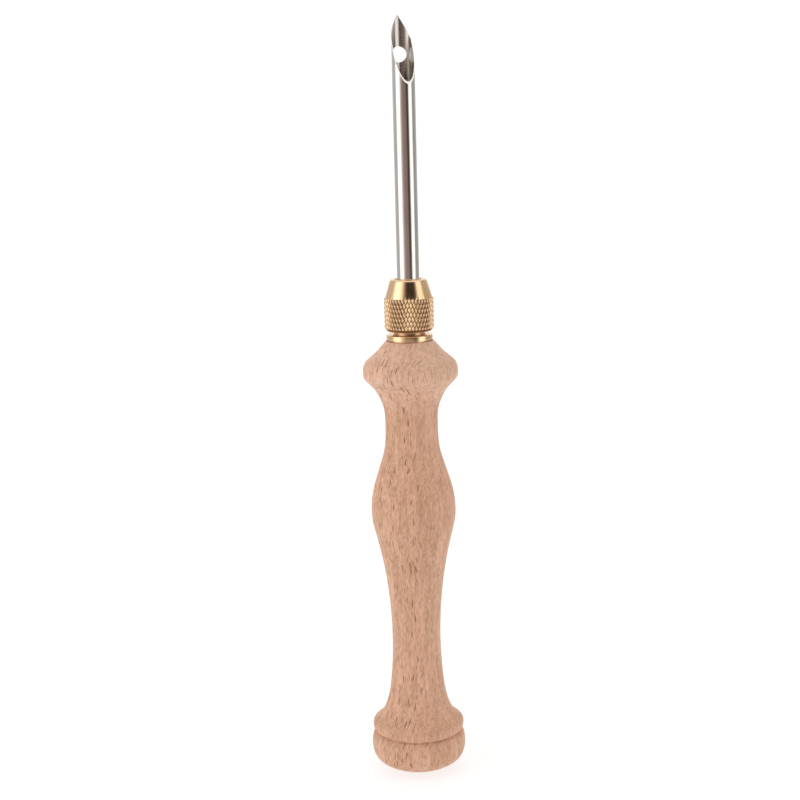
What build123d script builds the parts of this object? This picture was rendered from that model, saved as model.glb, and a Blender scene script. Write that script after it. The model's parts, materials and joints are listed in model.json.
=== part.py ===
from build123d import *
import os
from math import atan2, cos, radians, sin, tan

# Adjustable punch needle for rug yarn, in millimetres. The origin is the centre of the pommel's flat base and
# +Z runs along the tool's axis to the needle's tip. The bevel opens towards -Y and the eye towards +Y.
# The yarn runs from the pommel up the handle, through the chuck and the tube, and out of the bevel and the eye.

# Driving dimensions.
TOOL_LENGTH = 175.0
HANDLE_LENGTH = 102.75
NEEDLE_DIAMETER = 5.15
NEEDLE_WALL = 0.2
THREAD_DIAMETER = 8.0
THREAD_DEPTH = 0.46
RUNNING_GAP = 0.03
GLUE_GAP = 0.02

# Turned handle: radius and height of each high and low point of the outline.
BASE_FLAT_R = 4.6
POMMEL_R, POMMEL_Z = 11.05, 6.3
GROOVE_R, GROOVE_Z, GROOVE_WIDTH = 10.05, 9.4, 1.0
GROOVE_EDGE_R = 10.55
LOWER_BEAD_R, LOWER_BEAD_Z = 10.74, 11.0
LOWER_WAIST_R, LOWER_WAIST_Z = 5.66, 32.5
BELLY_R, BELLY_Z = 9.76, 63.1
UPPER_WAIST_R, UPPER_WAIST_Z = 6.05, 82.8
UPPER_BEAD_R, UPPER_BEAD_Z = 10.9, 95.8
SHOULDER_TOP_R = 5.4
YARN_BORE_R = 3.2
YARN_MOUTH_ROUND = 0.8
SOCKET_R, SOCKET_DEPTH = 4.0, 14.0

# Chuck body, from its stem in the wood up to the seat that the collet rests in.
STEM_BOTTOM_Z = 89.05
STEM_GROOVES, STEM_GROOVE_DEPTH = 4, 0.3
TURNED_EDGE = 0.2
FLANGE_R, FLANGE_THICKNESS = 5.33, 1.45
THREAD_BOTTOM_Z = 105.5
CHUCK_TOP_Z = 110.5
CHUCK_BORE_R = 2.65
SEAT_MOUTH_R, SEAT_HALF_ANGLE = 3.2, 30.0

# Collet: a short sleeve with two tapers, slit from both ends.
COLLET_BOTTOM_Z, COLLET_TOP_Z = 109.95, 116.3
COLLET_R = 3.5
COLLET_SLIT = 0.4
COLLET_SLIT_END = 1.2

# Nut: a threaded skirt, a chamber for the collet and a cone that closes it.
NUT_BOTTOM_Z, NUT_TOP_Z = 105.0, 116.8
NUT_R = 5.66
NUT_SKIRT_CHAMFER = 0.65
KNURL_TOP_Z = 112.6
CONE_BASE_R, CONE_TOP_R = 5.45, 4.14
NUT_CHAMBER_R, NUT_THREAD_TOP_Z = 3.6, 111.0
NUT_MOUTH_R, NUT_MOUTH_Z = 2.93, 116.5
COUNTERSINK_R = 3.33
NUT_HALF_ANGLE = 15.0
LIP_ROUND = 0.6
THREAD_GAP = 0.05
THREAD_LEAD_IN = 0.2

# Needle: the tube's lower end in the stem, the bevel, the two facets at the tip, and the eye.
NEEDLE_BOTTOM_Z = 90.0
BEVEL_LENGTH = 15.15
FACET_ANGLE = 28.5
FACET_TURN = 42.0
EYE_DIAMETER, EYE_Z = 3.5, 166.4

# How far a cutting solid runs past the piece it cuts.
OVERRUN = 1.0

# Derived sizes.
NEEDLE_R = NEEDLE_DIAMETER / 2
THREAD_R = THREAD_DIAMETER / 2
THREAD_ROOT_R = THREAD_R - THREAD_DEPTH
SOCKET_BOTTOM_Z = HANDLE_LENGTH - SOCKET_DEPTH
FLANGE_TOP_Z = HANDLE_LENGTH + FLANGE_THICKNESS
SEAT_DEPTH = (SEAT_MOUTH_R - CHUCK_BORE_R) / tan(radians(SEAT_HALF_ANGLE))
NUT_CONE_START_Z = NUT_MOUTH_Z - (NUT_CHAMBER_R - NUT_MOUTH_R) / tan(radians(NUT_HALF_ANGLE))


def seat_radius(z):
    """Radius of the chuck body's seat at a height."""
    return SEAT_MOUTH_R - (CHUCK_TOP_Z - z) * tan(radians(SEAT_HALF_ANGLE))


def nut_cone_radius(z):
    """Radius of the cone inside the nut at a height."""
    return NUT_MOUTH_R + (NUT_MOUTH_Z - z) * tan(radians(NUT_HALF_ANGLE))


def turned(points):
    """Solid of revolution about Z of a closed outline of (radius, height) points."""
    with BuildPart() as body:
        with BuildSketch(Plane.XZ):
            with BuildLine():
                Polyline(*points, close=True)
            make_face()
        revolve(axis=Axis.Z)
    return body.part


def handle_outline():
    """Outer outline of the turned wood, from the base up to the shoulder's top edge."""
    up = (0, 1)
    groove_bottom = (GROOVE_EDGE_R, GROOVE_Z - GROOVE_WIDTH / 2)
    groove_top = (GROOVE_EDGE_R, GROOVE_Z + GROOVE_WIDTH / 2)
    pommel = (POMMEL_R, POMMEL_Z)
    lower_bead = (LOWER_BEAD_R, LOWER_BEAD_Z)
    lower_waist = (LOWER_WAIST_R, LOWER_WAIST_Z)
    belly = (BELLY_R, BELLY_Z)
    upper_waist = (UPPER_WAIST_R, UPPER_WAIST_Z)
    upper_bead = (UPPER_BEAD_R, UPPER_BEAD_Z)
    shoulder_top = (SHOULDER_TOP_R, HANDLE_LENGTH)

    Line((YARN_BORE_R + YARN_MOUTH_ROUND, 0), (BASE_FLAT_R, 0))
    Spline((BASE_FLAT_R, 0), (6.6, 0.76), (9.25, 2.1), pommel, tangents=[(1, 0.3), up])
    Spline(pommel, groove_bottom, tangents=[up, (-0.5, 1)])
    Polyline(groove_bottom, (GROOVE_R, GROOVE_Z), groove_top)
    Spline(groove_top, lower_bead, tangents=[(0.4, 1), up])
    Spline(lower_bead, (9.73, 12.4), (7.19, 16.6), (6.09, 23.1), lower_waist, tangents=[up, up])
    Spline(lower_waist, (5.98, 40.1), (7.23, 50.1), (9.0, 58.1), belly, tangents=[up, up])
    Spline(belly, (9.19, 68.1), (7.06, 75.1), upper_waist, tangents=[up, up])
    Spline(
        upper_waist, (6.43, 87.6), (7.2, 89.7), (9.25, 92.7), (10.42, 93.9), upper_bead,
        tangents=[up, up],
    )
    Spline(upper_bead, (10.43, 97.75), (9.18, 98.95), (7.55, 100.4), shoulder_top, tangents=[up, (-1, 1)])


def make_handle():
    """Beech handle with the chuck's socket at the top and the yarn bore down to the pommel."""
    mouth_edge = (YARN_BORE_R + YARN_MOUTH_ROUND, 0)
    bore_edge = (YARN_BORE_R, YARN_MOUTH_ROUND)
    with BuildPart() as handle:
        with BuildSketch(Plane.XZ):
            with BuildLine():
                handle_outline()
                Polyline(
                    (SHOULDER_TOP_R, HANDLE_LENGTH),
                    (SOCKET_R, HANDLE_LENGTH),
                    (SOCKET_R, SOCKET_BOTTOM_Z),
                    (YARN_BORE_R, SOCKET_BOTTOM_Z),
                    bore_edge,
                )
                RadiusArc(bore_edge, mouth_edge, -YARN_MOUTH_ROUND)
            make_face()
        revolve(axis=Axis.Z)
    return handle.part


def make_chuck_body():
    """Brass stem, flange, neck and threaded nose with the collet's seat, bored through."""
    stem_r = SOCKET_R - GLUE_GAP
    thread_chamfer = THREAD_R - THREAD_ROOT_R
    body = turned([
        (CHUCK_BORE_R, STEM_BOTTOM_Z),
        (stem_r - TURNED_EDGE, STEM_BOTTOM_Z),
        (stem_r, STEM_BOTTOM_Z + TURNED_EDGE),
        (stem_r, HANDLE_LENGTH),
        (FLANGE_R - TURNED_EDGE, HANDLE_LENGTH),
        (FLANGE_R, HANDLE_LENGTH + TURNED_EDGE),
        (FLANGE_R, FLANGE_TOP_Z - TURNED_EDGE),
        (FLANGE_R - TURNED_EDGE, FLANGE_TOP_Z),
        (THREAD_ROOT_R, FLANGE_TOP_Z),
        (THREAD_ROOT_R, THREAD_BOTTOM_Z - thread_chamfer),
        (THREAD_R, THREAD_BOTTOM_Z),
        (THREAD_R, CHUCK_TOP_Z - thread_chamfer),
        (THREAD_ROOT_R, CHUCK_TOP_Z),
        (SEAT_MOUTH_R, CHUCK_TOP_Z),
        (CHUCK_BORE_R, CHUCK_TOP_Z - SEAT_DEPTH),
    ])
    groove_pitch = (HANDLE_LENGTH - STEM_BOTTOM_Z) / (STEM_GROOVES + 1)
    for index in range(STEM_GROOVES):
        middle = STEM_BOTTOM_Z + (index + 1) * groove_pitch
        body -= turned([
            (stem_r + STEM_GROOVE_DEPTH, middle - 2 * STEM_GROOVE_DEPTH),
            (stem_r - STEM_GROOVE_DEPTH, middle),
            (stem_r + STEM_GROOVE_DEPTH, middle + 2 * STEM_GROOVE_DEPTH),
        ])
    return body


def slit(turn, bottom_z, top_z):
    """Slab that cuts one pair of opposite slits through the collet."""
    slab = Box(3 * COLLET_R, COLLET_SLIT, top_z - bottom_z, align=(Align.CENTER, Align.CENTER, Align.MIN))
    return Pos(0, 0, bottom_z) * Rot(0, 0, turn) * slab


def make_collet():
    """Split sleeve that grips the needle between the chuck body's seat and the nut's cone."""
    bore_r = NEEDLE_R + RUNNING_GAP
    slope = tan(radians(SEAT_HALF_ANGLE))
    bottom_r = seat_radius(COLLET_BOTTOM_Z) - RUNNING_GAP
    lower_taper_end = COLLET_BOTTOM_Z + (COLLET_R - bottom_r) / slope
    upper_taper_start = NUT_MOUTH_Z - (COLLET_R + RUNNING_GAP - NUT_MOUTH_R) / tan(radians(NUT_HALF_ANGLE))
    collet = turned([
        (bore_r, COLLET_BOTTOM_Z),
        (bottom_r, COLLET_BOTTOM_Z),
        (COLLET_R, lower_taper_end),
        (COLLET_R, upper_taper_start),
        (nut_cone_radius(COLLET_TOP_Z) - RUNNING_GAP, COLLET_TOP_Z),
        (bore_r, COLLET_TOP_Z),
    ])
    for turn in (0, 90):
        collet -= slit(turn, COLLET_BOTTOM_Z + COLLET_SLIT_END, COLLET_TOP_Z + OVERRUN)
        collet -= slit(turn + 45, COLLET_BOTTOM_Z - OVERRUN, COLLET_TOP_Z - COLLET_SLIT_END)
    return collet


def make_chuck_nut():
    """Brass nut: the band that carries the knurl, the smooth cone and the stepped inside."""
    thread_r = THREAD_R + THREAD_GAP
    lean = atan2(CONE_BASE_R - CONE_TOP_R, NUT_TOP_Z - KNURL_TOP_Z)
    tangent = LIP_ROUND * tan((radians(90) - lean) / 2)
    lip_low = (CONE_TOP_R + tangent * sin(lean), NUT_TOP_Z - tangent * cos(lean))
    lip_high = (CONE_TOP_R - tangent, NUT_TOP_Z)
    with BuildPart() as nut:
        with BuildSketch(Plane.XZ):
            with BuildLine():
                Polyline(
                    (COUNTERSINK_R, NUT_TOP_Z),
                    (NUT_MOUTH_R, NUT_MOUTH_Z),
                    (NUT_CHAMBER_R, NUT_CONE_START_Z),
                    (NUT_CHAMBER_R, NUT_THREAD_TOP_Z),
                    (thread_r, NUT_THREAD_TOP_Z),
                    (thread_r, NUT_BOTTOM_Z + THREAD_LEAD_IN),
                    (thread_r + THREAD_LEAD_IN, NUT_BOTTOM_Z),
                    (NUT_R - NUT_SKIRT_CHAMFER, NUT_BOTTOM_Z),
                    (NUT_R, NUT_BOTTOM_Z + NUT_SKIRT_CHAMFER),
                    (NUT_R, KNURL_TOP_Z),
                    (CONE_BASE_R, KNURL_TOP_Z),
                    lip_low,
                )
                RadiusArc(lip_low, lip_high, -LIP_ROUND)
                Line(lip_high, (COUNTERSINK_R, NUT_TOP_Z))
            make_face()
        revolve(axis=Axis.Z)
    return nut.part


def grinding_plane(slope, turn=0):
    """Plane through the tip: slope is its rise across the tube, turn its turn about the tube's axis."""
    normal = Vector(0, -1, slope).rotate(Axis.Z, turn)
    return Plane(origin=(0, NEEDLE_R, TOOL_LENGTH), z_dir=normal)


def make_needle():
    """Stainless tube with its long bevel, the two facets that sharpen the tip, and the eye."""
    length = TOOL_LENGTH - NEEDLE_BOTTOM_Z
    on_base = (Align.CENTER, Align.CENTER, Align.MIN)
    facet_slope = tan(radians(FACET_ANGLE))
    with BuildPart() as needle:
        with Locations((0, 0, NEEDLE_BOTTOM_Z)):
            Cylinder(NEEDLE_R, length, align=on_base)
            Cylinder(NEEDLE_R - NEEDLE_WALL, length, align=on_base, mode=Mode.SUBTRACT)
        with Locations((0, NEEDLE_R, EYE_Z)):
            Cylinder(EYE_DIAMETER / 2, NEEDLE_R, rotation=(90, 0, 0), mode=Mode.SUBTRACT)
        split(bisect_by=grinding_plane(NEEDLE_DIAMETER / BEVEL_LENGTH), keep=Keep.BOTTOM)
        split(bisect_by=grinding_plane(facet_slope, FACET_TURN), keep=Keep.BOTTOM)
        split(bisect_by=grinding_plane(facet_slope, -FACET_TURN), keep=Keep.BOTTOM)
    return needle.part


def main():
    os.makedirs("parts", exist_ok=True)
    nodes = {
        "handle": make_handle(),
        "chuck_body": make_chuck_body(),
        "collet": make_collet(),
        "chuck_nut": make_chuck_nut(),
        "needle": make_needle(),
    }
    for name, solid in nodes.items():
        export_step(solid, f"parts/{name}.step")
        print(name, round(solid.volume, 2), "mm3")


main()
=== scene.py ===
import json
from math import asin, atan2, ceil, cos, hypot, pi, radians, sin, tan

import bpy
import numpy as np
from mathutils import Matrix, Vector


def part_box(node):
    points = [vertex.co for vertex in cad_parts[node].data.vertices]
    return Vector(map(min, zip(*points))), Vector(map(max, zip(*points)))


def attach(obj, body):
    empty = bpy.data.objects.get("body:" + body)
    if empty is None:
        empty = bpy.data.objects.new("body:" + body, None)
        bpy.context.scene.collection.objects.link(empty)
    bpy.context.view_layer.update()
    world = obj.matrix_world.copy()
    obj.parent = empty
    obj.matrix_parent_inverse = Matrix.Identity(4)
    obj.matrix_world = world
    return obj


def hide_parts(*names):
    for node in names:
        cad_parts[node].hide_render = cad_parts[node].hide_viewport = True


# Looks of the adjustable punch needle: turned beech handle, threaded brass chuck, knurled nut and ground
# steel tube. Outlines are worked out in millimetres in the CAD model's frame, and the meshes are in metres.

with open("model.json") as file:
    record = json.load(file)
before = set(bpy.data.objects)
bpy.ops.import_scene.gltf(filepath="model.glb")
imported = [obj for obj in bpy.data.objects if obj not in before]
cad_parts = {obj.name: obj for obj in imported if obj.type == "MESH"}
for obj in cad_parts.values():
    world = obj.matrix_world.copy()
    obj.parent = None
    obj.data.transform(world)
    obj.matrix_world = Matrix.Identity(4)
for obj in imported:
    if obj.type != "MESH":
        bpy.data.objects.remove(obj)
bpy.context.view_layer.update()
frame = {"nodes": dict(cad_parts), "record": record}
MM = 0.001
SHARP_DEG = 30.0

# Handle. Lengths are in millimetres from here to the camera. The CAD handle's points beyond OUTSIDE_R are its
# outside. They are thinned to OUTLINE_GAP and joined by a curve with a point about every OUTLINE_STEP.
HANDLE_SEGMENTS = 160
SOCKET_R, SOCKET_DEPTH = 4.0, 14.0
MOUTH_ROUND = 0.8
OUTSIDE_R = 4.5
OUTLINE_GAP = 0.3
OUTLINE_STEP = 0.6

# Chuck body and its M8 x 0.75 thread.
CHUCK_SEGMENTS = 144
THREAD_PITCH, THREAD_R, THREAD_ROOT_R = 0.75, 4.0, 3.54
THREAD_LENGTH, THREAD_FLAT = 5.0, 0.12
THREAD_ROWS_PER_TURN = 12
STEM_R, STEM_LENGTH, STEM_CHAMFER = 3.98, 13.7, 0.2
STEM_GROOVES, STEM_GROOVE_DEPTH = 4, 0.3
FLANGE_THICKNESS, FLANGE_EDGE = 1.45, 0.2
RECESS_DEPTH, RECESS_HEIGHT = 0.4, 0.22
CHUCK_BORE_R, SEAT_MOUTH_R, SEAT_DEG = 2.65, 3.2, 30.0
# Radius in to which the chuck's thread and neck darken with painted shade and dirt.
NECK_SHADE_AND_DIRT_R = 3.1

# Nut and its knurl.
KNURL_COUNT, KNURL_PITCH, KNURL_STEPS, KNURL_ROWS = 44, 2.08, 8, 59
# The last value is the depth below the crest where painted shade and dirt begin in the knurl's grooves.
KNURL_DEPTH, KNURL_HALF_GROOVE, KNURL_SHADE_START_DEPTH = 0.25, 0.46, 0.1
KNURL_TOP, KNURL_END_SLOPE, SKIRT_CHAMFER = 7.6, 1.2, 0.65
CONE_BASE_R, CONE_LEAN_DEG, LIP_ROUND = 5.45, 17.3, 0.6
CONE_ROWS, LIP_STEPS = 5, 8
NUT_MOUTH_R, COUNTERSINK_R, MOUTH_DEPTH = 2.93, 3.33, 0.3
CHAMBER_R, CHAMBER_BOTTOM, INNER_CONE_DEG = 3.6, 6.0, 15.0
THREAD_BORE_R, LEAD_IN = 4.05, 0.2

# Needle.
NEEDLE_WALL = 0.2
BEVEL_LENGTH, FACET_DEG, FACET_TURN_DEG = 15.15, 28.5, 42.0
EYE_R, EYE_BELOW_TIP = 1.75, 8.6
EYE_PATCH_DEG, EYE_PATCH_HALF_HEIGHT = 60, 2.6
EYE_PATCH_ROWS, EYE_LAYERS, TUBE_ROWS = 13, 8, 15
COLUMN_DEG = 2

# Collet: painted shade turns the brass brown over this depth, and the painted shade reaches past its top.
COLLET_SHADE_DEPTH, COLLET_SHADE_ABOVE = 1.0, 1.0

# Beech. The growth rings face this way, as an angle about the handle's axis, lie this far apart and wander
# this far to each side. The wood gets paler between the two heights.
RING_AZIMUTH = radians(-153.0)
RING_SPACING, RING_WANDER = 2.9, 1.2
PALE_FROM_Z, PALE_FULL_Z = 84.0, 96.0

# Height of the fine relief in each material.
BEECH_RELIEF, BRASS_RELIEF, STEEL_RELIEF = 0.03, 0.0012, 0.0015

# Brown lines round the wood: a scribed line at 93.0, and painted shade in the pommel's groove at 9.4. Height,
# half width and strength.
SCRIBE_AND_GROOVE_SHADE_LINES = [(9.4, 0.25, 0.25), (93.0, 0.2, 0.4)]

# Colours.
BEECH_PALE, BEECH_DEEP = (0.745, 0.420, 0.272), (0.620, 0.345, 0.208)
LATE_WOOD, PALE_WOOD = (0.50, 0.27, 0.17), (0.86, 0.56, 0.42)
STREAK_DARK, STREAK_PALE = (0.46, 0.24, 0.14), (0.80, 0.52, 0.38)
PORE_DARK, PORE_PALE = (0.42, 0.215, 0.13), (0.84, 0.55, 0.40)
# The second brown is for the scribed line and for the painted shade in the groove.
RAY_BROWN, SCRIBE_AND_GROOVE_SHADE_BROWN = (0.24, 0.09, 0.045), (0.33, 0.15, 0.08)
# The third brass colour is the brown of painted shade, and of dirt in the grooves.
BRASS_PALE, BRASS_DEEP, BRASS_SHADE_AND_DIRT = (0.85, 0.59, 0.365), (0.81, 0.555, 0.335), (0.19, 0.08, 0.02)
STEEL_PALE, STEEL_DEEP, STEEL_INSIDE = (0.70, 0.68, 0.66), (0.66, 0.64, 0.62), (0.56, 0.52, 0.48)

# Camera: where it stands as seen from the tool, and how it is turned, in metres and radians.
CAMERA_AZIMUTH = radians(-25.0)
CAMERA_DISTANCE, CAMERA_SIDE, CAMERA_HEIGHT = 0.33855, -0.00254, 0.15169
CAMERA_DOWN, CAMERA_ROLL = radians(10.5), radians(1.425)
LENS, SENSOR = 67.5, 36.0

# Studio, in metres. A row of the wall is a height and the share of the low colour there.
WALL_RADIUS, WALL_COLUMN_DEG = 0.62, 2
WALL_ROWS = [(0.0, 1.0), (0.16, 1.0), (0.30, 0.0), (0.7, 0.0)]
FLOOR_RADIUS, FLOOR_SEGMENTS = 6.0, 64
FLOOR_GREY, FLOOR_GLOW, WORLD_GLOW = 0.34, 0.74, 1.05


# Meshes ---------------------------------------------------------------------------------------------------

def mesh_piece(name, points, faces):
    """Object of one mesh given in millimetres, smooth except at edges sharper than SHARP_DEG."""
    mesh = bpy.data.meshes.new(name)
    mesh.from_pydata([tuple(p) for p in np.asarray(points) * MM], [], faces)
    mesh.update()
    mesh.shade_smooth()
    mesh.set_sharp_from_angle(angle=radians(SHARP_DEG))
    piece = bpy.data.objects.new(name, mesh)
    bpy.context.scene.collection.objects.link(piece)
    return piece


def ring(radius, height, segments, turn=0.0):
    """Points of one ring. The radius is a number or a function of the points' angles."""
    angles = (np.arange(segments) + turn) * 2 * pi / segments
    radii = radius(angles) if callable(radius) else np.full(segments, radius)
    return np.stack([radii * np.cos(angles), radii * np.sin(angles), np.full(segments, height)], axis=1)


def closed_lathe(rows, segments):
    """Points and faces of a turned solid. A row is (radius, height, turn). The last row joins the first."""
    points = np.concatenate([ring(radius, height, segments, turn) for radius, height, turn in rows])
    faces = []
    for low in range(len(rows)):
        high = (low + 1) % len(rows)
        lean = rows[high][2] - rows[low][2]
        for a in range(segments):
            b = (a + 1) % segments
            low_a, low_b = low * segments + a, low * segments + b
            high_a, high_b = high * segments + a, high * segments + b
            if lean > 0:
                faces += [(low_a, low_b, high_a), (low_b, high_b, high_a)]
            elif lean < 0:
                faces += [(low_a, low_b, high_b), (low_a, high_b, high_a)]
            else:
                faces.append((low_a, low_b, high_b, high_a))
    return points, faces


def arc(centre_r, centre_z, radius, start_deg, end_deg, steps=5):
    """(radius, height) points of an arc."""
    angles = np.radians(np.linspace(start_deg, end_deg, steps + 1))
    return [(centre_r + radius * cos(a), centre_z + radius * sin(a)) for a in angles]


def plain(outline):
    """Rows of an outline of (radius, height) points, with no turn."""
    return [(radius, height, 0.0) for radius, height in outline]


def box_mm(node):
    """Lowest and highest corner of a CAD node in millimetres."""
    low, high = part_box(node)
    return low / MM, high / MM


# Handle ---------------------------------------------------------------------------------------------------

def outer_outline(node):
    """(radius, height) points of a turned node's outside in millimetres, from its base up."""
    outline = {}
    for vertex in node.data.vertices:
        x, y, z = vertex.co / MM
        if hypot(x, y) > OUTSIDE_R:
            outline[round(z, 3)] = hypot(x, y)
    kept = []
    for z in sorted(outline):
        point = (outline[z], z)
        if not kept or hypot(point[0] - kept[-1][0], z - kept[-1][1]) >= OUTLINE_GAP or z == max(outline):
            kept.append(point)
    return np.array(kept)


def smooth_curve(points, step):
    """Cubic curve through the points, sampled about every step."""
    lengths = np.concatenate([[0], np.cumsum(np.hypot(*np.diff(points, axis=0).T))])
    slopes = np.gradient(points, lengths, axis=0)
    samples = []
    for i, span in enumerate(np.diff(lengths)):
        count = ceil(span / step)
        for t in np.arange(count) / count:
            samples.append(
                (1 + 2 * t) * (1 - t) ** 2 * points[i] + (3 - 2 * t) * t ** 2 * points[i + 1]
                + span * t * (1 - t) ** 2 * slopes[i] - span * t ** 2 * (1 - t) * slopes[i + 1]
            )
    return samples + [points[-1]]


def make_handle():
    """Turned beech: the outside read from the CAD handle, the chuck's socket and the yarn bore."""
    top = box_mm("handle")[1].z
    bore_r = next(m for m in frame["record"]["mounts"] if m["name"] == "yarn_inlet")["dims"]["r_mm"]
    outside = smooth_curve(outer_outline(frame["nodes"]["handle"]), OUTLINE_STEP)
    socket_floor = top - SOCKET_DEPTH
    inside = [(SOCKET_R, top), (SOCKET_R, socket_floor), (bore_r, socket_floor)]
    mouth = arc(bore_r + MOUTH_ROUND, MOUTH_ROUND, MOUTH_ROUND, 180, 270)
    outline = [tuple(p) for p in outside] + inside + mouth
    piece = mesh_piece("beech_handle", *closed_lathe(plain(outline), HANDLE_SEGMENTS))
    piece.data.materials.append(beech())
    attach(piece, "grip")
    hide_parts("handle")


# Chuck body -----------------------------------------------------------------------------------------------

def thread_radius(height, bottom, top):
    """Radius of the right-hand thread at a height, as a function of the angle, chamfered at both ends."""
    limit = THREAD_ROOT_R + max(0.0, min(height - bottom, top - height))

    def radius(angles):
        phase = (height / THREAD_PITCH - angles / (2 * pi)) % 1
        tooth = np.clip((np.abs(2 * phase - 1) - THREAD_FLAT) / (1 - 2 * THREAD_FLAT), 0, 1)
        return np.minimum(THREAD_ROOT_R + (THREAD_R - THREAD_ROOT_R) * tooth, limit)

    return radius


def make_chuck_body():
    """Brass stem, flange, neck and threaded nose with its seat for the collet."""
    low, high = box_mm("chuck_body")
    bottom, top, flange_r = low.z, high.z, high.x
    flange_low = bottom + STEM_LENGTH
    flange_high = flange_low + FLANGE_THICKNESS
    outline = [(CHUCK_BORE_R, bottom), (STEM_R - STEM_CHAMFER, bottom), (STEM_R, bottom + STEM_CHAMFER)]
    groove_pitch = STEM_LENGTH / (STEM_GROOVES + 1)
    for index in range(STEM_GROOVES):
        middle = bottom + (index + 1) * groove_pitch
        outline += [
            (STEM_R, middle - STEM_GROOVE_DEPTH),
            (STEM_R - STEM_GROOVE_DEPTH, middle),
            (STEM_R, middle + STEM_GROOVE_DEPTH),
        ]
    outline += [
        (STEM_R, flange_low),
        (flange_r - RECESS_DEPTH, flange_low),
        (flange_r - RECESS_DEPTH, flange_low + RECESS_HEIGHT),
        (flange_r - FLANGE_EDGE / 2, flange_low + RECESS_HEIGHT),
        (flange_r, flange_low + RECESS_HEIGHT + FLANGE_EDGE / 2),
    ]
    outline += arc(flange_r - FLANGE_EDGE, flange_high - FLANGE_EDGE, FLANGE_EDGE, 0, 90)
    fillet = FLANGE_EDGE / 2
    outline += arc(THREAD_ROOT_R + fillet, flange_high + fillet, fillet, 270, 180)
    rows = plain(outline)
    thread_bottom = top - THREAD_LENGTH - (THREAD_R - THREAD_ROOT_R)
    row_count = ceil((top - thread_bottom) / THREAD_PITCH * THREAD_ROWS_PER_TURN)
    for height in np.linspace(thread_bottom, top, row_count + 1):
        rows.append((thread_radius(height, thread_bottom, top), height, 0.0))
    seat_bottom = top - (SEAT_MOUTH_R - CHUCK_BORE_R) / tan(radians(SEAT_DEG))
    rows += plain([(SEAT_MOUTH_R, top), (CHUCK_BORE_R, seat_bottom)])
    piece = mesh_piece("brass_chuck_body", *closed_lathe(rows, CHUCK_SEGMENTS))
    # The thread and neck are darkened with painted shade and dirt.
    piece.data.materials.append(brass("chuck_brass", NECK_SHADE_AND_DIRT_R, THREAD_R, top, CHUCK_BORE_R))
    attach(piece, "grip")
    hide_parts("chuck_body")


# Nut ------------------------------------------------------------------------------------------------------

def knurl_radius(height, crest_r):
    """Radius of the diamond knurl at a height above the nut's bottom, as a function of the angle."""
    skirt_r = min(crest_r, crest_r - SKIRT_CHAMFER + height)
    limit = CONE_BASE_R + KNURL_END_SLOPE * (KNURL_TOP - height)

    def radius(angles):
        grooves = 0.0
        for lean in (1, -1):
            phase = KNURL_COUNT * angles / (2 * pi) + lean * height / KNURL_PITCH
            across = np.abs(phase - np.round(phase))
            grooves = np.maximum(grooves, np.clip(1 - across / KNURL_HALF_GROOVE, 0, 1))
        return np.minimum(skirt_r - KNURL_DEPTH * grooves, limit)

    return radius


def make_nut():
    """Brass nut: diamond knurl, smooth cone with a rounded lip, and the stepped inside."""
    low, high = box_mm("chuck_nut")
    bottom, top, crest_r = low.z, high.z, high.x
    segments = KNURL_COUNT * KNURL_STEPS
    rise = KNURL_PITCH / (2 * KNURL_STEPS)
    rows = [
        (knurl_radius(index * rise, crest_r), bottom + index * rise, 0.5 * (index % 2))
        for index in range(KNURL_ROWS)
    ]
    lean = radians(CONE_LEAN_DEG)
    cone_low = bottom + KNURL_TOP
    lip_z = top - LIP_ROUND
    cone_high = lip_z + LIP_ROUND * sin(lean)
    for height in np.linspace(cone_low, cone_high, CONE_ROWS + 1)[:-1]:
        rows.append((CONE_BASE_R - (height - cone_low) * tan(lean), height, 0.0))
    lip_r = CONE_BASE_R - (cone_high - cone_low) * tan(lean) - LIP_ROUND * cos(lean)
    mouth_z = top - MOUTH_DEPTH
    inner_cone_z = mouth_z - (CHAMBER_R - NUT_MOUTH_R) / tan(radians(INNER_CONE_DEG))
    rows += plain(
        arc(lip_r, lip_z, LIP_ROUND, CONE_LEAN_DEG, 90, LIP_STEPS)
        + [
            (COUNTERSINK_R, top),
            (NUT_MOUTH_R, mouth_z),
            (CHAMBER_R, inner_cone_z),
            (CHAMBER_R, bottom + CHAMBER_BOTTOM),
            (THREAD_BORE_R, bottom + CHAMBER_BOTTOM),
            (THREAD_BORE_R, bottom + LEAD_IN),
            (THREAD_BORE_R + LEAD_IN, bottom),
        ]
    )
    piece = mesh_piece("knurled_nut", *closed_lathe(rows, segments))
    root_r, shade_start_r = crest_r - KNURL_DEPTH, crest_r - KNURL_SHADE_START_DEPTH
    # The knurl's grooves are darkened with painted shade and dirt, and the mouth is darkened with painted
    # shade.
    piece.data.materials.append(brass("nut_brass", root_r, shade_start_r, bottom + KNURL_TOP, NUT_MOUTH_R))
    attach(piece, "nut")
    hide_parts("chuck_nut")


# Needle ---------------------------------------------------------------------------------------------------

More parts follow.
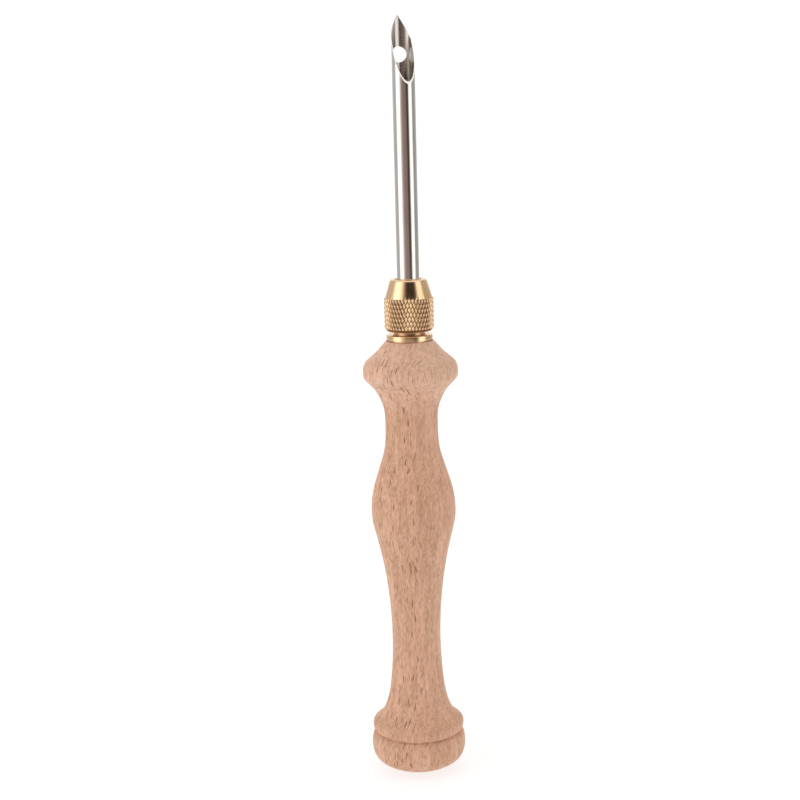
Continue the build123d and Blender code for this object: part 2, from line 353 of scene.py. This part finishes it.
class TubeWall:
    """One wall of the needle: a grid of columns and heights, ground off at the tip, with a patch at the eye.

    A column's angle is measured from the eye's side, and each place in the grid has one point.
    """

    def __init__(self, radius, outer_r, tip_z, points):
        self.radius, self.outer_r, self.tip_z = radius, outer_r, tip_z
        self.eye_z = tip_z - EYE_BELOW_TIP
        self.points, self.found, self.faces = points, {}, []

    def point(self, angle, height):
        self.points.append((self.radius * sin(angle), self.radius * cos(angle), height))
        return len(self.points) - 1

    def ground_height(self, column):
        """Height of the lowest of the three ground planes over a column."""
        angle = radians(column * COLUMN_DEG)
        x, y = self.radius * sin(angle), self.radius * cos(angle)
        planes = [(2 * self.outer_r / BEVEL_LENGTH, 0)]
        planes += [(tan(radians(FACET_DEG)), radians(turn)) for turn in (FACET_TURN_DEG, -FACET_TURN_DEG)]
        drops = [(sin(turn) * x - cos(turn) * (y - self.outer_r)) / slope for slope, turn in planes]
        return self.tip_z - max(drops)

    def at(self, column, height):
        """Index of the point on a column at a height, or where the column is ground off."""
        height = min(height, self.ground_height(column))
        place = (column % (360 // COLUMN_DEG), round(height, 6))
        if place not in self.found:
            self.found[place] = self.point(radians(column * COLUMN_DEG), height)
        return self.found[place]

    def add_face(self, corners):
        kept = list(dict.fromkeys(corners))
        if len(kept) > 2:
            self.faces.append(kept)

    def build(self, heights, patch_rows, columns, patch_columns):
        for low, high in zip(heights, heights[1:]):
            for column in columns:
                if column in patch_columns[:-1] and low in patch_rows[:-1]:
                    continue
                self.add_face([
                    self.at(column, low), self.at(column + 1, low),
                    self.at(column + 1, high), self.at(column, high),
                ])
        edge = [(c, patch_rows[0]) for c in patch_columns[:-1]]
        edge += [(patch_columns[-1], z) for z in patch_rows[:-1]]
        edge += [(c, patch_rows[-1]) for c in patch_columns[:0:-1]]
        edge += [(patch_columns[0], z) for z in patch_rows[:0:-1]]
        layers = [self.eye_layer(edge, layer / EYE_LAYERS) for layer in range(EYE_LAYERS)]
        layers.append([self.at(column, z) for column, z in edge])
        for inner, outer in zip(layers, layers[1:]):
            for i in range(len(edge)):
                j = (i + 1) % len(edge)
                self.add_face([outer[i], outer[j], inner[j], inner[i]])
        self.eye = layers[0]
        self.foot = [self.at(column, heights[0]) for column in columns]
        self.tip = [self.at(column, self.tip_z) for column in columns]

    def eye_layer(self, edge, share):
        """Points between the eye's outline, at share 0, and the patch's edge, at share 1."""
        layer = []
        for column, height in edge:
            edge_angle = radians(column * COLUMN_DEG)
            around = atan2(height - self.eye_z, edge_angle * self.outer_r)
            eye_angle = asin(EYE_R * cos(around) / self.radius)
            eye_height = self.eye_z + EYE_R * sin(around)
            layer.append(self.point(
                eye_angle + (edge_angle - eye_angle) * share,
                eye_height + (height - eye_height) * share,
            ))
        return layer


def set_wall_normals(mesh, outer_count, inner_count):
    """Normals out of the outer wall and into the bore from the inner one. The rims keep their own."""
    normals = []
    for polygon in mesh.polygons:
        for vertex in polygon.vertices:
            radial = Vector((mesh.vertices[vertex].co.x, mesh.vertices[vertex].co.y, 0)).normalized()
            if polygon.index < outer_count:
                normals.append(radial)
            elif polygon.index < outer_count + inner_count:
                normals.append(-radial)
            else:
                normals.append(polygon.normal.copy())
    mesh.normals_split_custom_set(normals)


def make_needle():
    """Ground and pierced tube: two walls, joined at the foot, along the ground tip and through the eye."""
    low, high = box_mm("needle")
    radius, foot_z, tip_z = high.x, low.z, high.z
    eye_z = tip_z - EYE_BELOW_TIP
    patch_low, patch_high = eye_z - EYE_PATCH_HALF_HEIGHT, eye_z + EYE_PATCH_HALF_HEIGHT
    patch_rows = list(np.linspace(patch_low, patch_high, EYE_PATCH_ROWS + 1))
    below = list(np.linspace(foot_z, patch_low, TUBE_ROWS + 1))
    above = list(np.linspace(patch_high, tip_z, TUBE_ROWS + 1))
    heights = below[:-1] + patch_rows + above[1:]
    half_turn = 180 // COLUMN_DEG
    columns = list(range(-half_turn, half_turn))
    half_patch = EYE_PATCH_DEG // COLUMN_DEG
    patch_columns = list(range(-half_patch, half_patch + 1))
    points = []
    walls = [TubeWall(r, radius, tip_z, points) for r in (radius, radius - NEEDLE_WALL)]
    for wall in walls:
        wall.build(heights, patch_rows, columns, patch_columns)
    outer, inner = walls
    rims = []
    for a, b in ((inner.foot, outer.foot), (outer.tip, inner.tip), (outer.eye, inner.eye)):
        for i in range(len(a)):
            j = (i + 1) % len(a)
            rims.append((b[i], b[j], a[j], a[i]))
    outer_faces = [tuple(reversed(face)) for face in outer.faces]
    faces = outer_faces + inner.faces + rims
    piece = mesh_piece("steel_needle", points, faces)
    set_wall_normals(piece.data, len(outer_faces), len(inner.faces))
    piece.data.materials.append(steel(radius))
    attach(piece, "needle")
    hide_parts("needle")


# Materials ------------------------------------------------------------------------------------------------

class Shader:
    """A material's node tree with short calls for the nodes used here."""

    def __init__(self, name, **principled):
        self.material = bpy.data.materials.new(name)
        self.material.use_nodes = True
        self.tree = self.material.node_tree
        self.surface = self.tree.nodes["Principled BSDF"]
        for socket, value in principled.items():
            self.surface.inputs[socket.replace("_", " ")].default_value = value

    def add(self, kind, inputs, **settings):
        node = self.tree.nodes.new(kind)
        for name, value in settings.items():
            setattr(node, name, value)
        for name, value in inputs.items():
            if isinstance(value, bpy.types.NodeSocket):
                self.tree.links.new(value, node.inputs[name])
            else:
                node.inputs[name].default_value = value
        return node

    def maths(self, operation, first, second=0.0, third=0.0):
        inputs = {0: first, 1: second, 2: third}
        return self.add("ShaderNodeMath", inputs, operation=operation).outputs[0]

    def ramp(self, value, from_min, from_max, to_min=0.0, to_max=1.0):
        """Smooth change from to_min to to_max as the value goes from from_min to from_max."""
        inputs = {
            "Value": value, "From Min": from_min, "From Max": from_max, "To Min": to_min, "To Max": to_max,
        }
        return self.add("ShaderNodeMapRange", inputs, interpolation_type="SMOOTHSTEP").outputs["Result"]

    def stretch(self, point, sizes):
        """The point divided by a size in millimetres along each axis."""
        inputs = {0: point, 1: tuple(1 / size for size in sizes)}
        return self.add("ShaderNodeVectorMath", inputs, operation="MULTIPLY").outputs[0]

    def noise(self, point, sizes, detail=2.0, roughness=0.5):
        """Noise from 0 to 1 with grains of these sizes."""
        inputs = {
            "Vector": self.stretch(point, sizes), "Scale": 1.0, "Detail": detail, "Roughness": roughness,
        }
        return self.add("ShaderNodeTexNoise", inputs).outputs["Fac"]

    def mix(self, share, first, second):
        """Colour mixed from first to second."""
        node = self.add("ShaderNodeMix", {"Factor": share}, data_type="RGBA")
        for index, value in ((6, first), (7, second)):
            if isinstance(value, bpy.types.NodeSocket):
                self.tree.links.new(value, node.inputs[index])
            else:
                node.inputs[index].default_value = (*value, 1.0)
        return node.outputs[2]

    def millimetres(self, turn=0.0):
        """Place on the object in millimetres, turned about its axis."""
        place = self.add("ShaderNodeTexCoord", {}).outputs["Object"]
        inputs = {"Vector": place, "Rotation": (0.0, 0.0, -turn), "Scale": (1 / MM, 1 / MM, 1 / MM)}
        return self.add("ShaderNodeMapping", inputs).outputs["Vector"]

    def split(self, vector):
        """The three parts of a vector."""
        parts = self.add("ShaderNodeSeparateXYZ", {"Vector": vector}).outputs
        return parts["X"], parts["Y"], parts["Z"]

    def join(self, x, y, z):
        return self.add("ShaderNodeCombineXYZ", {"X": x, "Y": y, "Z": z}).outputs[0]

    def radius(self, x, y):
        """Distance from the tool's axis."""
        inputs = {0: self.join(x, y, 0.0)}
        return self.add("ShaderNodeVectorMath", inputs, operation="LENGTH").outputs["Value"]

    def set(self, socket, value):
        self.tree.links.new(value, self.surface.inputs[socket])

    def bump(self, height, distance):
        """Relief of this many millimetres where the height is 1."""
        inputs = {"Height": height, "Distance": distance * MM, "Strength": 1.0}
        self.set("Normal", self.add("ShaderNodeBump", inputs).outputs["Normal"])


def ray_dashes(wood, across, along, width, length, cut, strong_from):
    """Medullary rays cut open: thin dashes along the grain, dark in a few cells and faint in the rest."""
    cells = wood.join(wood.maths("DIVIDE", across, width), wood.maths("DIVIDE", along, length), 0.0)
    voronoi = wood.add("ShaderNodeTexVoronoi", {"Vector": cells, "Scale": 1.0}, voronoi_dimensions="2D")
    chance, _, _ = wood.split(voronoi.outputs["Color"])
    shape = wood.ramp(voronoi.outputs["Distance"], cut * 1.3, cut * 0.5)
    strength = wood.ramp(chance, strong_from - 0.3, strong_from + 0.15, 0.15, 1.0)
    return wood.maths("MULTIPLY", shape, strength)


def beech():
    """Unvarnished beech: rays, pores, growth rings and slow changes of tone, solid through the wood."""
    wood = Shader("beech", Roughness=0.55, Specular_IOR_Level=0.5)
    place = wood.millimetres(turn=RING_AZIMUTH)
    wander = wood.noise(place, (14, 14, 22), detail=1.0)
    radial, across, along = wood.split(place)
    shift = wood.maths("MULTIPLY_ADD", wander, 2 * RING_WANDER, -RING_WANDER)
    across_bent = wood.maths("ADD", across, shift)
    ring_place = wood.maths("ADD", radial, shift)

    tone = wood.noise(place, (3, 3, 18), detail=3.0)
    colour = wood.mix(wood.ramp(tone, 0.38, 0.62), BEECH_PALE, BEECH_DEEP)

    ring_share = wood.maths("FRACT", wood.maths("DIVIDE", ring_place, RING_SPACING))
    late_wood = wood.maths("MULTIPLY", wood.ramp(ring_share, 0.55, 0.93), wood.ramp(ring_share, 1.0, 0.95))
    colour = wood.mix(wood.maths("MULTIPLY", late_wood, 0.16), colour, LATE_WOOD)

    colour = wood.mix(wood.ramp(along, PALE_FROM_Z, PALE_FULL_Z, 0.0, 0.55), colour, PALE_WOOD)
    streaks = wood.noise(place, (0.8, 0.8, 12.0), detail=3.0, roughness=0.6)
    colour = wood.mix(wood.ramp(streaks, 0.47, 0.62, 0.0, 0.38), colour, STREAK_DARK)
    colour = wood.mix(wood.ramp(streaks, 0.47, 0.34, 0.0, 0.35), colour, STREAK_PALE)
    pores = wood.noise(place, (0.22, 0.22, 1.5), detail=2.0, roughness=0.65)
    colour = wood.mix(wood.ramp(pores, 0.5, 0.66, 0.0, 0.5), colour, PORE_DARK)
    colour = wood.mix(wood.ramp(pores, 0.5, 0.36, 0.0, 0.45), colour, PORE_PALE)

    strong_rays = ray_dashes(wood, across_bent, along, width=0.8, length=5.6, cut=0.16, strong_from=0.62)
    fine_rays = ray_dashes(wood, across_bent, along, width=0.45, length=2.6, cut=0.2, strong_from=0.8)
    rays = wood.maths("MAXIMUM", strong_rays, wood.maths("MULTIPLY", fine_rays, 0.7))
    sideways = wood.maths("DIVIDE", wood.maths("ABSOLUTE", across), wood.radius(radial, across))
    face_on = wood.ramp(sideways, 0.58, 0.92, 1.0, 0.08)
    ray_share = wood.maths("MULTIPLY", wood.maths("MULTIPLY", rays, face_on), 0.95)
    colour = wood.mix(ray_share, colour, RAY_BROWN)

    fade = wood.ramp(wood.noise(place, (4, 4, 4), detail=1.0), 0.38, 0.58, 0.25, 1.0)
    # The line at 9.4 is painted shade in the groove; the one at 93.0 is a scribed line.
    for height, half_width, strength in SCRIBE_AND_GROOVE_SHADE_LINES:
        off_line = wood.maths("ABSOLUTE", wood.maths("SUBTRACT", along, height))
        line = wood.ramp(off_line, half_width, 0.3 * half_width, 0.0, strength)
        colour = wood.mix(wood.maths("MULTIPLY", line, fade), colour, SCRIBE_AND_GROOVE_SHADE_BROWN)

    wood.set("Base Color", colour)
    wood.set("Roughness", wood.ramp(streaks, 0.3, 0.7, 0.48, 0.62))
    lathe_marks = wood.noise(wood.join(0.0, 0.0, along), (1, 1, 0.35), detail=1.0)
    relief = wood.maths("MULTIPLY", lathe_marks, 0.25)
    relief = wood.maths("SUBTRACT", relief, wood.maths("MULTIPLY", pores, 0.7))
    relief = wood.maths("SUBTRACT", relief, rays)
    wood.bump(relief, BEECH_RELIEF)
    return wood.material


def brass(name, root_r, shade_start_r, groove_shade_top, bore_r):
    """Polished brass with fine turning lines.

    It is darkened with painted shade in the bore. Below the given top height it is darkened with painted
    shade and dirt in the outer grooves, from the given start radius in to root_r.
    """
    metal = Shader(name, Metallic=1.0)
    place = metal.millimetres()
    x, y, along = metal.split(place)
    radius = metal.radius(x, y)
    tone = metal.noise(place, (3, 3, 3), detail=3.0)
    colour = metal.mix(metal.ramp(tone, 0.35, 0.65), BRASS_PALE, BRASS_DEEP)
    outside = metal.ramp(radius, root_r - 0.6, root_r - 0.2)
    outside = metal.maths("MULTIPLY", outside, metal.ramp(along, groove_shade_top, groove_shade_top - 0.1))
    shade_and_dirt = metal.maths("MULTIPLY", metal.ramp(radius, shade_start_r, root_r), outside)
    shade_and_dirt = metal.maths("MAXIMUM", shade_and_dirt, metal.ramp(radius, bore_r + 0.25, bore_r + 0.1))
    # Painted shade: the colour goes brown in the bore, and with dirt in the outer grooves.
    metal.set("Base Color", metal.mix(metal.maths("MULTIPLY", shade_and_dirt, 0.85), colour, BRASS_SHADE_AND_DIRT))
    lathe_place = metal.join(metal.maths("MULTIPLY", radius, 20.0), 0.0, along)
    lines = metal.noise(lathe_place, (1, 1, 0.045), detail=2.0)
    roughness = metal.ramp(lines, 0.3, 0.7, 0.15, 0.24)
    metal.set("Roughness", metal.maths("MULTIPLY_ADD", shade_and_dirt, 0.25, roughness))
    metal.bump(lines, BRASS_RELIEF)
    return metal.material


def steel(outer_r):
    """Drawn and polished stainless tube with faint lines along it, duller and browner inside."""
    metal = Shader("stainless", Metallic=1.0)
    place = metal.millimetres()
    x, y, _ = metal.split(place)
    inside = metal.ramp(metal.radius(x, y), outer_r - 0.4 * NEEDLE_WALL, outer_r - 0.8 * NEEDLE_WALL)
    lines = metal.noise(place, (0.16, 0.16, 22.0), detail=2.0)
    tone = metal.noise(place, (1.5, 1.5, 6.0), detail=2.0)
    colour = metal.mix(metal.ramp(tone, 0.3, 0.7), STEEL_PALE, STEEL_DEEP)
    metal.set("Base Color", metal.mix(inside, colour, STEEL_INSIDE))
    roughness = metal.ramp(lines, 0.3, 0.7, 0.09, 0.16)
    metal.set("Roughness", metal.maths("MULTIPLY_ADD", inside, 0.13, roughness))
    relief = metal.maths("MULTIPLY", lines, metal.ramp(inside, 0.0, 1.0, 1.0, 0.3))
    metal.bump(relief, STEEL_RELIEF)
    return metal.material


def finish_collet():
    """The collet is the CAD node itself, in brass darkened with painted shade towards the bore."""
    high = box_mm("collet")[1]
    collet_shade_r, collet_shade_top = high.x - COLLET_SHADE_DEPTH, high.z + COLLET_SHADE_ABOVE
    # Painted shade: the collet sits inside the nut, and its brass is darkened there.
    metal = brass("collet_brass_painted_shade", collet_shade_r, high.x, collet_shade_top, NUT_MOUTH_R)
    node = frame["nodes"]["collet"]
    for slot in node.material_slots:
        slot.material = metal


# Studio ---------------------------------------------------------------------------------------------------

def camera_axes():
    """Horizontal directions to the right of the picture and from the tool towards the camera."""
    side = Vector((cos(CAMERA_AZIMUTH), sin(CAMERA_AZIMUTH), 0))
    toward = Vector((sin(CAMERA_AZIMUTH), -cos(CAMERA_AZIMUTH), 0))
    return side, toward


def make_camera():
    """Camera to the front left of the tool, looking down a little and rolled a little."""
    side, toward = camera_axes()
    up = Vector((0, 0, 1))
    back = cos(CAMERA_DOWN) * toward + sin(CAMERA_DOWN) * up
    level_top = cos(CAMERA_DOWN) * up - sin(CAMERA_DOWN) * toward
    right = cos(CAMERA_ROLL) * side - sin(CAMERA_ROLL) * level_top
    top = cos(CAMERA_ROLL) * level_top + sin(CAMERA_ROLL) * side
    place = CAMERA_SIDE * side + CAMERA_DISTANCE * toward + CAMERA_HEIGHT * up
    camera = bpy.data.objects.new("camera", bpy.data.cameras.new("camera"))
    rows = [(right[i], top[i], back[i], place[i]) for i in range(3)]
    camera.matrix_world = Matrix(rows + [(0, 0, 0, 1)])
    camera.data.lens, camera.data.sensor_width = LENS, SENSOR
    camera.data.clip_start = 0.01
    bpy.context.scene.collection.objects.link(camera)
    bpy.context.scene.camera = camera


def glow_material(name, attribute):
    """Light given off in the colour stored on the mesh."""
    material = bpy.data.materials.new(name)
    material.use_nodes = True
    tree = material.node_tree
    tree.nodes.clear()
    colour = tree.nodes.new("ShaderNodeAttribute")
    colour.attribute_name = attribute
    glow = tree.nodes.new("ShaderNodeEmission")
    output = tree.nodes.new("ShaderNodeOutputMaterial")
    tree.links.new(colour.outputs["Color"], glow.inputs["Color"])
    tree.links.new(glow.outputs[0], output.inputs["Surface"])
    return material


# What stands round the tool in the studio, as the light it sends in: degrees to the right of the camera, then
# the colour low down and the colour high up.
SURROUND = [
    (-150, (0.70, 0.69, 0.68), (0.80, 0.80, 0.80)),
    (-100, (0.56, 0.54, 0.52), (0.66, 0.64, 0.60)),
    (-88, (0.70, 0.69, 0.68), (0.85, 0.84, 0.82)),
    (-80, (1.85, 1.82, 1.78), (1.85, 1.82, 1.78)),
    (-50, (1.85, 1.82, 1.78), (1.85, 1.82, 1.78)),
    (-40, (0.95, 0.88, 0.84), (1.40, 1.35, 1.30)),
    (-24, (0.42, 0.33, 0.29), (0.36, 0.29, 0.25)),
    (-12, (0.36, 0.26, 0.22), (0.035, 0.026, 0.022)),
    (14, (0.30, 0.21, 0.18), (0.03, 0.024, 0.02)),
    (26, (0.06, 0.045, 0.04), (0.03, 0.024, 0.02)),
    (37, (0.05, 0.04, 0.035), (0.04, 0.03, 0.03)),
    (46, (0.90, 0.86, 0.82), (0.80, 0.75, 0.70)),
    (52, (1.70, 1.66, 1.61), (1.47, 1.44, 1.40)),
    (76, (1.70, 1.66, 1.61), (1.47, 1.44, 1.40)),
    (86, (0.42, 0.40, 0.38), (0.50, 0.47, 0.42)),
    (110, (0.44, 0.42, 0.40), (0.55, 0.52, 0.48)),
    (150, (0.65, 0.64, 0.63), (0.80, 0.80, 0.80)),
]


def make_surround():
    """Curved wall of soft boxes and dark card, seen only in reflections, open behind the tool."""
    side, toward = camera_axes()
    stops = [stop[0] for stop in SURROUND]
    angles = np.arange(stops[0], stops[-1] + 1, WALL_COLUMN_DEG)
    points, colours, faces = [], [], []
    for angle in angles:
        direction = cos(radians(angle)) * toward + sin(radians(angle)) * side
        low, high = (
            np.array([np.interp(angle, stops, [stop[level][c] for stop in SURROUND]) for c in range(3)])
            for level in (1, 2)
        )
        for height, share in WALL_ROWS:
            points.append(Vector((*(direction * WALL_RADIUS).xy, height)) / MM)
            colours += [*(low * share + high * (1 - share)), 1.0]
    rows = len(WALL_ROWS)
    for column in range(len(angles) - 1):
        for row in range(rows - 1):
            a = column * rows + row
            faces.append((a, a + rows, a + rows + 1, a + 1))
    wall = mesh_piece("studio_surround", points, faces)
    layer = wall.data.attributes.new("glow", "FLOAT_COLOR", "POINT")
    layer.data.foreach_set("color", np.array(colours, np.float32))
    wall.data.materials.append(glow_material("soft_boxes_and_card", "glow"))
    wall.visible_camera = False


def make_floor():
    """Plain white table that fades into the background."""
    rim = ring(FLOOR_RADIUS / MM, 0.0, FLOOR_SEGMENTS)
    faces = [(i, (i + 1) % FLOOR_SEGMENTS, FLOOR_SEGMENTS) for i in range(FLOOR_SEGMENTS)]
    floor = mesh_piece("floor", np.concatenate([rim, [(0, 0, 0)]]), faces)
    white = Shader("white_table", Roughness=0.9, Specular_IOR_Level=0.0)
    white.surface.inputs["Base Color"].default_value = (FLOOR_GREY, FLOOR_GREY, FLOOR_GREY, 1)
    white.surface.inputs["Emission Color"].default_value = (1, 1, 1, 1)
    white.surface.inputs["Emission Strength"].default_value = FLOOR_GLOW
    floor.data.materials.append(white.material)


def make_world():
    """White light from all round."""
    world = bpy.data.worlds.new("studio")
    world.use_nodes = True
    background = world.node_tree.nodes["Background"]
    background.inputs["Color"].default_value = (1, 1, 1, 1)
    background.inputs["Strength"].default_value = WORLD_GLOW
    bpy.context.scene.world = world
    bpy.context.scene.view_settings.view_transform = "Standard"


make_handle()
make_chuck_body()
make_nut()
make_needle()
finish_collet()
make_world()
make_floor()
make_surround()
make_camera()
